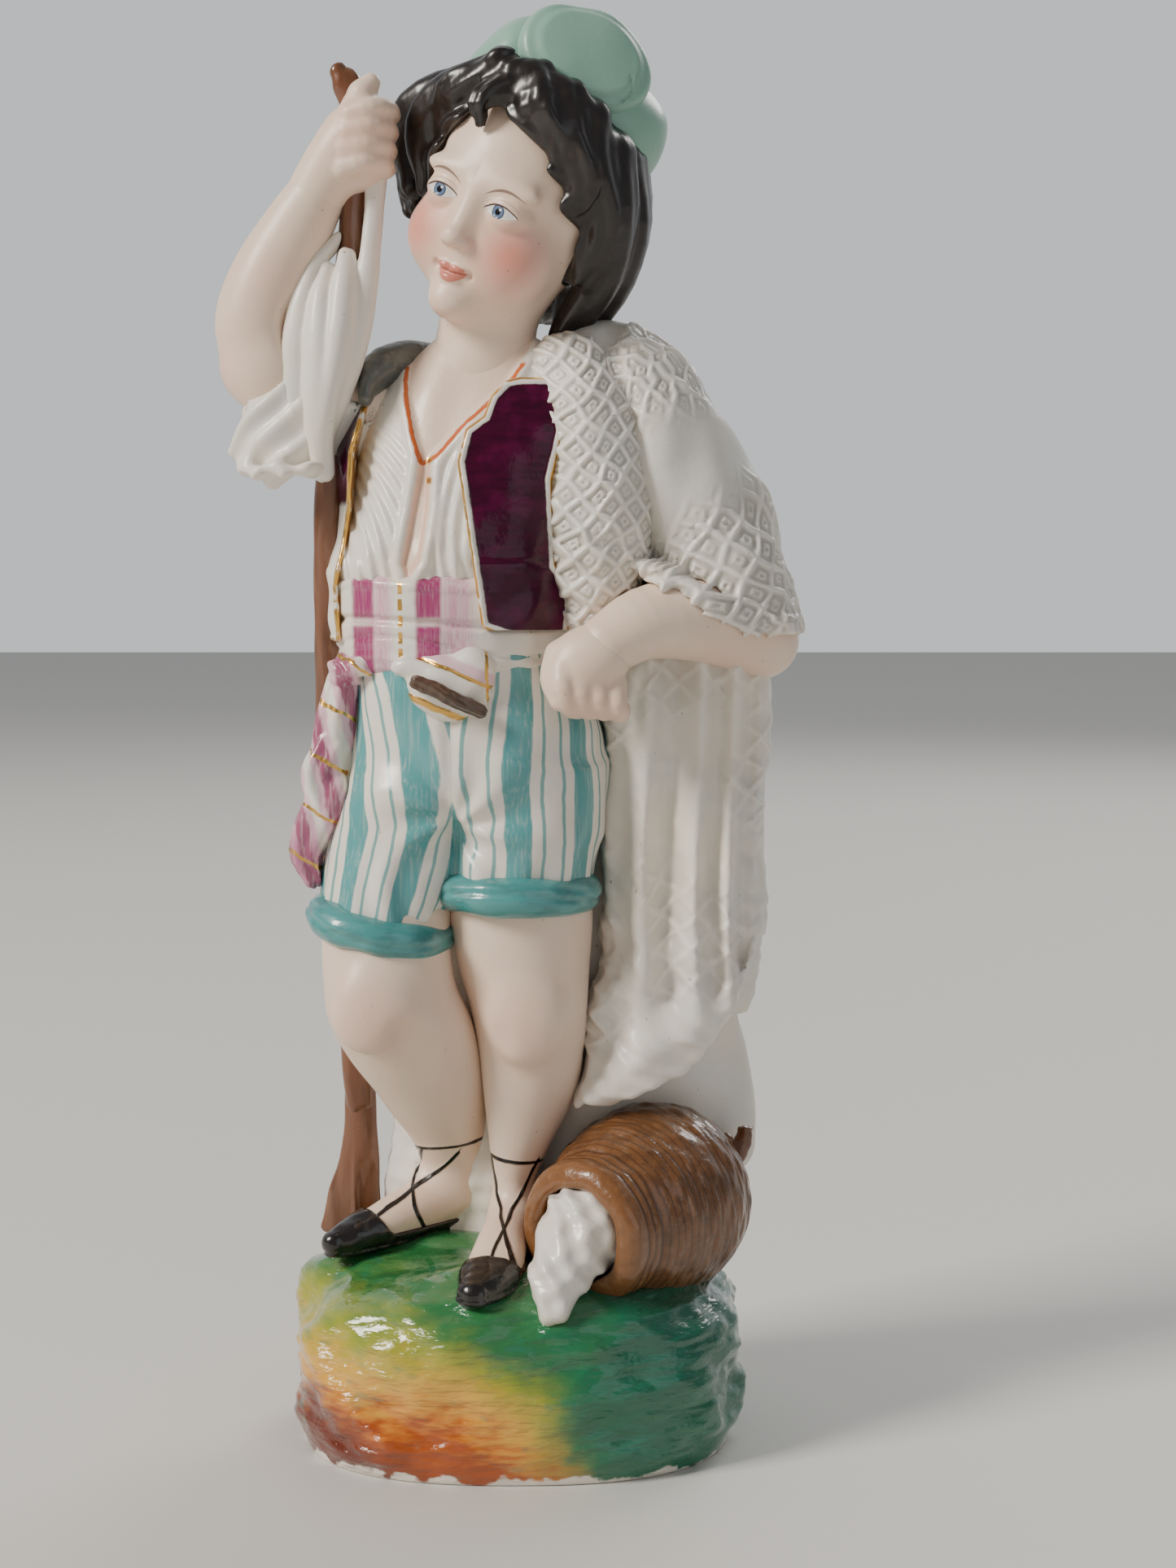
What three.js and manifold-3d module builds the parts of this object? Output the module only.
// Porcelain figurine of a fisher boy standing on a rocky mound, leaning on an oar, with a net over one
// shoulder and a tipped wicker pot at the foot. Each moulded piece is its own mesh.
// Millimetres, +Z up, the boy faces -Y.
import * as THREE from "three";
import { mergeVertices } from "three/addons/utils/BufferGeometryUtils.js";
import Module from "manifold-3d";

const wasm = await Module();
wasm.setup();

// ---- driving dimensions ----
const GAP = 0.3; // slip joint between two pieces
const BASE = { halfWidth: 53, halfDepth: 42, height: 44, wall: 5, squareness: 2.5 };
const FINEST = 0.12; // what the cuts leave smaller than this is smoothed away
const SIDES = 12; // facets round a limb
const VEST_PROUD = 2.4; // how far the waistcoat stands off the shirt
const OAR_R = 3.2;
const POT_AXIS = new THREE.Vector3(0.66, 0.74, 0.08).normalize(); // from the pot's mouth to its bottom
const POT_MOUTH = new THREE.Vector3(13.5, -21, 53);

const AXIS_X = new THREE.Vector3(1, 0, 0);
const AXIS_Z = new THREE.Vector3(0, 0, 1);
const UPRIGHT = { axis: AXIS_Z }; // level rings
const LYING = { ref: AXIS_Z }; // rx is the height, ry the width of something that lies down

// ---- solids ----
function solid(geometry) {
  geometry.deleteAttribute("normal");
  geometry.deleteAttribute("uv");
  const merged = mergeVertices(geometry, 1e-4);
  const triVerts = new Uint32Array(merged.index.array);
  const build = () =>
    new wasm.Manifold(
      new wasm.Mesh({ numProp: 3, vertProperties: merged.attributes.position.array, triVerts }),
    );
  const made = build();
  if (made.volume() > 0) return made;
  for (let i = 0; i < triVerts.length; i += 3) {
    [triVerts[i + 1], triVerts[i + 2]] = [triVerts[i + 2], triVerts[i + 1]];
  }
  return build();
}

const join = (...solids) => solids.reduce((a, b) => a.add(b));

// Bends a unit cylinder so that its rings lie on the stations [x, y, z, rx, ry], square to the path, or all
// square to a fixed axis when one is given. dome is how far each end bulges past its last station, in radii.
// rx lies along ref, ry across it.
function limb(stations, grow = 0, options = {}) {
  const { dome = 0.7, sides = SIDES, ref = AXIS_X, axis = null, shape = null } = options;
  const centres = stations.map((s) => new THREE.Vector3(s[0], s[1], s[2]));
  const last = stations.length - 1;
  const heading = (i) => {
    const ahead = centres[Math.min(i + 1, last)];
    const behind = centres[Math.max(i - 1, 0)];
    const along = new THREE.Vector3().subVectors(ahead, behind);
    return axis ? axis.clone().multiplyScalar(Math.sign(along.dot(axis))) : along.normalize();
  };
  const rings = stations.map((s, i) => ({ c: centres[i], t: heading(i), rx: s[3] + grow, ry: s[4] + grow }));
  const beyond = (ring, sign, out) => {
    const shrink = Math.sqrt(1 - out * out);
    const reach = sign * out * dome * Math.min(ring.rx, ring.ry);
    const c = ring.c.clone().addScaledVector(ring.t, reach);
    return { c, t: ring.t, rx: ring.rx * shrink, ry: ring.ry * shrink };
  };
  if (dome) {
    rings.unshift(beyond(rings[0], -1, 0.95), beyond(rings[0], -1, 0.65));
    const end = rings[rings.length - 1];
    rings.push(beyond(end, 1, 0.65), beyond(end, 1, 0.95));
  } else {
    rings[0].c.addScaledVector(rings[0].t, -grow);
    rings[last].c.addScaledVector(rings[last].t, grow);
  }
  const geometry = new THREE.CylinderGeometry(1, 1, 1, sides, rings.length - 1);
  const at = geometry.attributes.position;
  for (let i = 0; i < at.count; i++) {
    const ring = rings[Math.round((0.5 - at.getY(i)) * (rings.length - 1))];
    const u = ref.clone().addScaledVector(ring.t, -ring.t.dot(ref)).normalize();
    const v = new THREE.Vector3().crossVectors(ring.t, u);
    const [x, y] = shape ? shape(at.getX(i), at.getZ(i)) : [at.getX(i), at.getZ(i)];
    const point = ring.c.clone().addScaledVector(u, x * ring.rx).addScaledVector(v, y * ring.ry);
    at.setXYZ(i, point.x, point.y, point.z);
  }
  return solid(geometry);
}

// An ellipsoid at [x, y, z] with radii [rx, ry, rz], turned by Euler degrees.
function egg(centre, radii, grow = 0, turn = [0, 0, 0]) {
  const geometry = new THREE.SphereGeometry(1, 14, 8);
  geometry.scale(radii[0] + grow, radii[1] + grow, radii[2] + grow);
  const euler = new THREE.Euler(...turn.map((d) => THREE.MathUtils.degToRad(d)));
  geometry.applyMatrix4(new THREE.Matrix4().makeRotationFromEuler(euler));
  geometry.translate(...centre);
  return solid(geometry);
}

// A rolled hem: a torus with oval plan.
function rolledHem(centre, radii, tube, grow, turn) {
  const geometry = new THREE.TorusGeometry(1, 0.3, 7, 18);
  const at = geometry.attributes.position;
  for (let i = 0; i < at.count; i++) {
    const angle = Math.atan2(at.getY(i), at.getX(i));
    const out = (Math.hypot(at.getX(i), at.getY(i)) - 1) / 0.3;
    const up = at.getZ(i) / 0.3;
    at.setXYZ(
      i,
      Math.cos(angle) * (radii[0] + out * (tube + grow)),
      Math.sin(angle) * (radii[1] + out * (tube + grow)),
      up * (tube + grow),
    );
  }
  const euler = new THREE.Euler(...turn.map((d) => THREE.MathUtils.degToRad(d)));
  geometry.applyMatrix4(new THREE.Matrix4().makeRotationFromEuler(euler));
  geometry.translate(...centre);
  return solid(geometry);
}

// A prism seen from the front: an [x, z] outline pushed from yNear to yFar.
function frontPrism(outline, yNear, yFar) {
  const shape = new THREE.Shape(outline.map(([x, z]) => new THREE.Vector2(x, z)));
  const geometry = new THREE.ExtrudeGeometry(shape, { depth: yFar - yNear, bevelEnabled: false });
  geometry.applyMatrix4(new THREE.Matrix4().makeRotationX(Math.PI / 2)); // z of the shape plane goes up
  geometry.translate(0, yFar, 0);
  return solid(geometry);
}

// ---- base ----
const ovalPlan = (x, y) => {
  // Unit circle to unit superellipse, so that the mound has fuller corners than an ellipse.
  const r = Math.hypot(x, y);
  if (r < 1e-6) return [x, y];
  const n = BASE.squareness;
  const k = r / (Math.abs(x / r) ** n + Math.abs(y / r) ** n) ** (1 / n);
  return [(x / r) * k, (y / r) * k];
};
// Height up the mound, as a share of the base's height, against the share of the full plan there.
const MOUND_RISE = [
  [0, 0.975], [0.1, 1], [0.45, 1.02], [0.7, 0.99], [0.83, 0.92], [0.91, 0.79], [0.97, 0.58], [1, 0.3],
];
// Lumps of rock under the feet and the stump.
const ROCKS = [
  [[-27, 10, 38], [25, 16, 7.8]],
  [[-5, -14, 37], [15, 22, 7.4]],
  [[20, 22, 36], [26, 14, 9]],
];
const moundStations = (top, inset) =>
  MOUND_RISE.map(([h, w]) => [0, 1, h * top, BASE.halfWidth * w - inset, BASE.halfDepth * w - inset]);
const MOUND_RINGS = { dome: 0, sides: 28, axis: AXIS_Z, shape: ovalPlan };
function baseMound(grow) {
  const mound = limb(moundStations(BASE.height, 0), grow, MOUND_RINGS);
  const rocks = ROCKS.map(([centre, radii]) => egg(centre, radii, grow));
  const outer = join(mound, ...rocks);
  if (grow) return outer;
  const hollow = limb(
    moundStations(BASE.height - BASE.wall, BASE.wall).map(([x, y, z, rx, ry]) => [x, y, z || -1, rx, ry]),
    0,
    MOUND_RINGS,
  );
  return outer.subtract(hollow);
}

// ---- legs and shoes ----
const LEFT_LEG = [
  [-0.8, 5, 50, 6.3, 7.2], [-0.8, 5, 60, 6.1, 7], [0.8, 4.5, 70, 8, 8.6], [2.6, 4.5, 80, 10.8, 11.2],
  [3, 3.5, 90, 11.8, 12], [2.8, 0.5, 100, 12.6, 12.6], [2, -0.5, 108, 13.4, 13.4], [0.8, 1, 120, 16, 15.5],
  [0.4, 2, 132, 17.2, 16.5], [0.4, 3, 140, 17, 16.3],
];
const LEFT_FOOT = [
  [0.5, 9, 50, 5.2, 5.2], [-1.5, 0, 50.5, 6.2, 6], [-6, -14, 48, 6, 4.2], [-8.5, -21, 46.6, 5.4, 3],
];
const LEFT_SHOE = [
  [0.8, 10, 46, 6, 2.8], [-2, -2, 45.8, 6.8, 2.8], [-6.5, -16, 45, 6.8, 3.6], [-11, -28, 43, 5.6, 3.8],
];
const RIGHT_LEG = [
  [-15.5, 19, 53, 7.6, 7], [-16.5, 17, 62, 7.8, 7.5], [-18, 14, 70, 9.5, 9.2], [-20.5, 10, 78, 12, 11.5],
  [-23.5, 6, 87, 14.2, 13], [-27, 0, 97, 15, 13.8], [-30, -5, 106, 15.5, 14.2], [-31, -5, 114, 15.6, 14.5],
  [-31, -3, 122, 15.2, 14.4], [-29, 0, 134, 14.5, 14],
];
const RIGHT_FOOT = [
  [-9, 23, 51, 5.2, 5.2], [-17, 17, 52, 6.2, 6], [-28, 9.5, 50, 6, 4.6], [-35, 4.5, 48.6, 5.4, 3.2],
];
const RIGHT_SHOE = [
  [-8, 24, 46.6, 5.6, 2.8], [-22, 14, 46.6, 6.6, 2.8], [-34, 5, 45.8, 6.4, 3.6], [-41, 0, 44.8, 5.4, 4],
];
const flat = (stations) => stations.map(([x, y, z, across, high]) => [x, y, z, high, across]);
const leftLeg = (g) => join(limb(LEFT_LEG, g, UPRIGHT), limb(flat(LEFT_FOOT), g, LYING));
const rightLeg = (g) => join(limb(RIGHT_LEG, g, UPRIGHT), limb(flat(RIGHT_FOOT), g, LYING));
const leftShoe = (g) => limb(flat(LEFT_SHOE), g, LYING);
const rightShoe = (g) => limb(flat(RIGHT_SHOE), g, LYING);

// ---- breeches, cuffs, sash and pouch ----
const PELVIS = [
  [-12, 4, 188, 25.5, 20.5], [-11.5, 4, 180, 27.5, 22], [-9, 4.5, 170, 29.5, 23.5], [-8, 5, 160, 30, 24],
  [-9, 5, 150, 28, 22],
];
const LEFT_THIGH = [[0, 4, 162, 19, 20], [1, 2, 148, 19.5, 19.5], [1, 0.5, 133, 19, 18.5]];
const RIGHT_THIGH = [[-18, 5, 162, 18, 19], [-26, 1, 146, 17, 17.5], [-31.5, -2.5, 127, 15.8, 15.5]];
const breeches = (g) =>
  join(
    limb(PELVIS, g, { dome: 0, axis: AXIS_Z }),
    limb(LEFT_THIGH, g, { dome: 0 }),
    limb(RIGHT_THIGH, g, { dome: 0 }),
  );
const leftCuff = (g) => rolledHem([0.6, 0.3, 131.5], [15.4, 14.9], 4.7, g, [0, 2, 0]);
const rightCuff = (g) => rolledHem([-31.5, -3, 124], [13.8, 13.4], 4.7, g, [6, 13, 0]);
const WAIST = [[-14.5, 4, 185, 28.2, 22.6], [-15, 4, 195, 29, 23.2], [-14.8, 4, 205.5, 29.4, 23.4]];
const sash = (g) => limb(WAIST, g, { dome: 0, sides: 18, axis: AXIS_Z });
const sashKnot = (g) => egg([-40, -4, 184], [5, 5, 4.5], g);
const SASH_TAIL = [
  [-41.5, -2, 179, 4, 4], [-43, -1, 170, 4, 4.5], [-45, 0, 160, 5, 5], [-46.5, 0, 151, 6.2, 5.6],
  [-49, 0, 142, 5, 5], [-47.5, 1, 134, 2.4, 3],
];
const sashTail = (g) => limb(SASH_TAIL, g);
const waistPouch = (g) => egg([-15.5, -17.8, 179], [9.6, 4.8, 7.2], g);
const POUCH_BAR = [[-21.8, -22, 181.8, 2, 2], [-15, -23.2, 178.4, 2.2, 2.2], [-8.2, -22, 175, 2, 2]];
const pouchBar = (g) => limb(POUCH_BAR, g);

// ---- body ----
const TORSO = [
  [-15, 4, 188.4, 26, 20.5], [-15.5, 4, 196, 27, 21], [-14, 4, 208, 27.5, 21.5], [-11, 4.5, 222, 29, 21.5],
  [-5, 5, 236, 32.5, 21], [-1, 6, 246, 33, 18.5], [-2, 6, 253, 26, 15], [-4, 5, 259, 16, 12.5],
];
const torso = (g) => limb(TORSO, g, { dome: 0, sides: 18, axis: AXIS_Z });
const VEST_LEFT = [
  [0, 250], [8, 251.5], [9, 240], [8, 228], [9, 214], [12.5, 203], [11, 192.5], [0, 193.5],
  [-5, 197], [-8, 213], [-11, 232], [-9.5, 243], [-4, 244],
];
const VEST_RIGHT = [
  [-30, 248], [-35, 250], [-46, 240], [-46, 188.5], [-38, 186.5], [-40, 203], [-37, 222], [-35, 236],
];
const waistcoat = (outline) => (g) =>
  limb(TORSO, g + VEST_PROUD, { dome: 0, sides: 18, axis: AXIS_Z }).intersect(frontPrism(outline, -40, 6));
const shoulderStrap = (g) => limb([[-31, 2, 247, 4, 5], [-29, 6, 253, 5, 5], [-22, 9, 258, 5, 4]], g);

// ---- head ----
const NECK = [[-6, 5, 251, 13, 12], [-5, 4, 262, 12, 11.5], [-3, 3, 272, 13, 13]];
const head = (g) =>
  join(
    limb(NECK, g, UPRIGHT),
    egg([3, 4, 296], [23, 25, 24.5], g),
    egg([-4, -4, 282], [19.5, 18, 19], g),
  );
const hair = (g) =>
  join(
    egg([3, 9, 299], [28, 25.5, 23.5], g),
    egg([-27, 2, 303], [8.5, 10, 14], g),
    egg([23, 2, 294], [10.5, 16, 20], g),
    egg([20, 8, 273], [7, 10, 11], g),
  );
const capBand = (g) => egg([8, 12, 317], [26.5, 22, 16], g, [0, 22, 0]);
const capCrown = (g) => egg([16.5, 2, 326], [15.5, 14, 12.5], g, [0, 25, 0]);

// ---- right arm, which holds the oar ----
const OAR = [
  [-39, -4, 319, 2.4, 2.4], [-36.5, -4, 312, OAR_R, OAR_R], [-38, -2, 290, OAR_R, OAR_R],
  [-41, 0, 262, OAR_R, OAR_R], [-44.5, 4, 227, OAR_R, OAR_R], [-45.7, 10, 178, OAR_R, OAR_R],
  [-45.5, 15, 134, OAR_R, OAR_R], [-42, 19, 100, OAR_R, OAR_R], [-40, 20.5, 76, OAR_R, OAR_R],
];
const BLADE = [
  [-39.8, 20.8, 75.4, 3.4, 3.2], [-40, 21.5, 62, 4.6, 2.8], [-41.6, 22, 50, 6.4, 2.6],
  [-42, 22.2, 42, 7, 2.6],
];
const oarShaft = (g) => limb(OAR, g, { dome: 0.8, sides: 12 });
const oarBlade = (g) => limb(BLADE, g, { dome: 0, sides: 14 });
const RIGHT_FOREARM = [
  [-60, 0, 262, 10, 10], [-56.5, -1, 274, 9.8, 9.8], [-50, -2.5, 286, 8.3, 8.3], [-44, -3.5, 296, 7, 7],
];
const RIGHT_UPPER_ARM = [[-48, 4, 250, 9.6, 9.6], [-56, 1.5, 254, 9.6, 9.6]];
const rightArm = (g) => join(limb(RIGHT_FOREARM, g), limb(RIGHT_UPPER_ARM, g));
const rightHand = (g) =>
  join(egg([-37, -4, 303], [8.2, 8.5, 10.5], g, [0, 20, 0]), egg([-35, -4, 311], [5.6, 6.5, 7], g));
const RIGHT_SLEEVE = [[-33, 8, 246, 12, 12.5], [-45, 4.5, 245, 12.5, 12.5], [-54, 2, 243.5, 12.6, 11]];
const rightSleeve = (g) => limb(RIGHT_SLEEVE, g, { dome: 0, ref: AXIS_Z });
const SLEEVE_FOLDS = [
  [-40, -3, 273, 5, 4.5], [-41.5, -4, 262, 9, 6.5], [-42.5, -4, 248, 9.6, 8], [-43.5, -1, 236, 7.4, 7.4],
  [-44, 2, 229, 5.4, 5.6],
];
const sleeveFolds = (g) => limb(SLEEVE_FOLDS, g);

// ---- left arm under the net ----
const LEFT_FOREARM = [
  [56, 4, 191, 9.5, 9.5], [46, -6, 195, 10, 10], [32, -15, 195, 9, 9], [20, -20, 190.5, 7.4, 7.4],
];
const leftForearm = (g) => limb(LEFT_FOREARM, g, LYING);
const leftHand = (g) => join(egg([17, -21, 183], [9, 8, 9.5], g), egg([25, -20, 176.5], [7.5, 7, 6.2], g));
const netChest = (g) =>
  limb([[15, -3, 250, 11, 13], [19, -4, 236, 13, 15], [20, -3, 218, 13.5, 15], [18, -3, 203, 9.5, 11]], g);
const netShoulder = (g) =>
  limb(
    [
      [19, 4, 250, 17, 15], [26, 3, 244, 16.5, 16.5], [33, 3, 231, 18, 17], [41, 4, 216, 18, 16.5],
      [45, 5, 203, 16.2, 15.5], [49, 6, 194, 13.5, 13],
    ],
    g,
  );
const sideDrape = (g) =>
  limb(
    [
      [39, 7, 190, 19, 13], [40, 7, 175, 19.5, 14], [40.5, 7, 150, 18.5, 14], [40, 7, 125, 19, 15],
      [36, 6, 108, 19.5, 15], [31, 4, 95, 15, 12], [25, 2, 84, 9, 8],
    ],
    g,
  );
const backDrape = (g) =>
  limb(
    [
      [6, 19, 240, 24, 10], [14, 22, 215, 31, 11], [20, 24, 180, 35, 12], [23, 25, 140, 36, 12],
      [25, 24, 100, 35, 13], [27, 23, 72, 33, 12], [27, 22, 62, 29, 11],
    ],
    g,
    { dome: 0.3, axis: AXIS_Z },
  );
const STUMP = [
  [-6, 24, 38, 27, 13], [-8, 24, 60, 25, 12], [-7, 23, 80, 23, 11.5], [-4, 21, 110, 22, 11.5],
  [0, 19, 138, 20, 12],
];
const supportStump = (g) => limb(STUMP, g, { dome: 0 });

// ---- tipped wicker pot and its catch ----
// Distance from the pot's mouth plane against radius, outside then back inside the mouth's recess.
const POT_OUTSIDE = [
  [-0.5, 12.5], [0.8, 14.8], [3, 15.8], [6, 14.8], [8, 15.4], [11, 18.6], [14, 18.6], [19, 20.6],
  [30, 22.2], [38, 21], [45, 16.5], [49, 9.5],
];
const POT_RECESS = { radius: 10.6, depth: 13 };
function wickerPot(grow) {
  const outside = POT_OUTSIDE.map(([s, r]) => new THREE.Vector2(r + grow, s));
  const recess = grow
    ? [new THREE.Vector2(0, -0.5 - grow)]
    : [
        new THREE.Vector2(0, POT_RECESS.depth),
        new THREE.Vector2(POT_RECESS.radius, POT_RECESS.depth),
        new THREE.Vector2(POT_RECESS.radius, 0.8),
      ];
  const geometry = new THREE.LatheGeometry([...recess, ...outside, new THREE.Vector2(0, 50 + grow)], 18);
  geometry.applyQuaternion(new THREE.Quaternion().setFromUnitVectors(new THREE.Vector3(0, 1, 0), POT_AXIS));
  geometry.translate(...POT_MOUTH.toArray());
  return solid(geometry);
}
const potHandleStub = (g) => limb([[53.6, 9, 68, 2.4, 2.4], [55.6, 9, 73.4, 2, 2]], g, { sides: 10 });
const CATCH = [
  [18.5, -15.2, 53.5, 9, 9], [13, -22, 51, 9.6, 9], [9.5, -28.5, 43.5, 8, 7.5], [9, -32.5, 39, 6.4, 5],
];
const spilledCatch = (g) => limb(CATCH, g, LYING);

// ---- the assembly: a later piece gives way to every earlier one ----
const WHITE = { color: 0xe9e2d6, roughness: 0.4 };
const SKIN = { color: 0xf0cdb0, roughness: 0.45 };
const TEAL = { color: 0x4f9c98, roughness: 0.3 };
const BLACK = { color: 0x1c1613, roughness: 0.3 };
const BROWN = { color: 0x6d4426, roughness: 0.35 };
const PURPLE = { color: 0x3f0b26, roughness: 0.2 };
const PINK = { color: 0xd9a0b4, roughness: 0.35 };
const CAP_GREEN = { color: 0x9cc4ae, roughness: 0.4 };
const GREEN = { color: 0x2e7a46, roughness: 0.15 };
const GREY = { color: 0x5b5a55, roughness: 0.4 };

const PIECES = [
  ["base_mound", baseMound, GREEN],
  ["left_shoe", leftShoe, BLACK],
  ["right_shoe", rightShoe, BLACK],
  ["left_leg", leftLeg, SKIN],
  ["right_leg", rightLeg, SKIN],
  ["sash", sash, PINK],
  ["breeches", breeches, WHITE],
  ["left_cuff", leftCuff, TEAL],
  ["right_cuff", rightCuff, TEAL],
  ["cap_crown", capCrown, CAP_GREEN],
  ["cap_band", capBand, CAP_GREEN],
  ["head", head, SKIN],
  ["hair", hair, BLACK],
  ["torso", torso, WHITE],
  ["waistcoat_left", waistcoat(VEST_LEFT), PURPLE],
  ["waistcoat_right", waistcoat(VEST_RIGHT), PURPLE],
  ["pouch_bar", pouchBar, BROWN],
  ["waist_pouch", waistPouch, WHITE],
  ["oar_shaft", oarShaft, BROWN],
  ["oar_blade", oarBlade, BROWN],
  ["sleeve_folds", sleeveFolds, WHITE],
  ["right_sleeve", rightSleeve, WHITE],
  ["right_arm", rightArm, SKIN],
  ["right_hand", rightHand, SKIN],
  ["left_hand", leftHand, SKIN],
  ["left_forearm", leftForearm, SKIN],
  ["net_chest", netChest, WHITE],
  ["net_shoulder", netShoulder, WHITE],
  ["wicker_pot", wickerPot, BROWN],
  ["spilled_catch", spilledCatch, WHITE],
  ["pot_handle_stub", potHandleStub, BROWN],
  ["net_side_fall", sideDrape, WHITE],
  ["net_back_fall", backDrape, WHITE],
  ["support_stump", supportStump, WHITE],
  ["sash_knot", sashKnot, PINK],
  ["sash_tail", sashTail, PINK],
  ["shoulder_strap", shoulderStrap, GREY],
];

// The biggest body of a solid; what a cut leaves as slivers is dropped.
function biggest(made) {
  return made.decompose().reduce((a, b) => (b.volume() > a.volume() ? b : a));
}

function geometryOf(made) {
  const mesh = made.getMesh();
  const geometry = new THREE.BufferGeometry();
  geometry.setAttribute("position", new THREE.BufferAttribute(new Float32Array(mesh.vertProperties), 3));
  geometry.setIndex(new THREE.BufferAttribute(new Uint32Array(mesh.triVerts), 1));
  geometry.computeVertexNormals();
  return geometry;
}

const figurine = new THREE.Group();
const claimed = [];
for (const [name, shape, look] of PIECES) {
  const whole = shape(0);
  const free = claimed.reduce((left, other) => left.subtract(other), whole);
  claimed.push(shape(GAP));
  const mesh = new THREE.Mesh(
    geometryOf(biggest(free.simplify(FINEST))),
    new THREE.MeshStandardMaterial({ color: look.color, roughness: look.roughness, metalness: 0 }),
  );
  mesh.name = name;
  figurine.add(mesh);
}

// The origin is under the middle of the whole figure's bounding box.
const middle = new THREE.Box3().setFromObject(figurine).getCenter(new THREE.Vector3());
figurine.position.set(-middle.x, -middle.y, 0);

export default figurine;
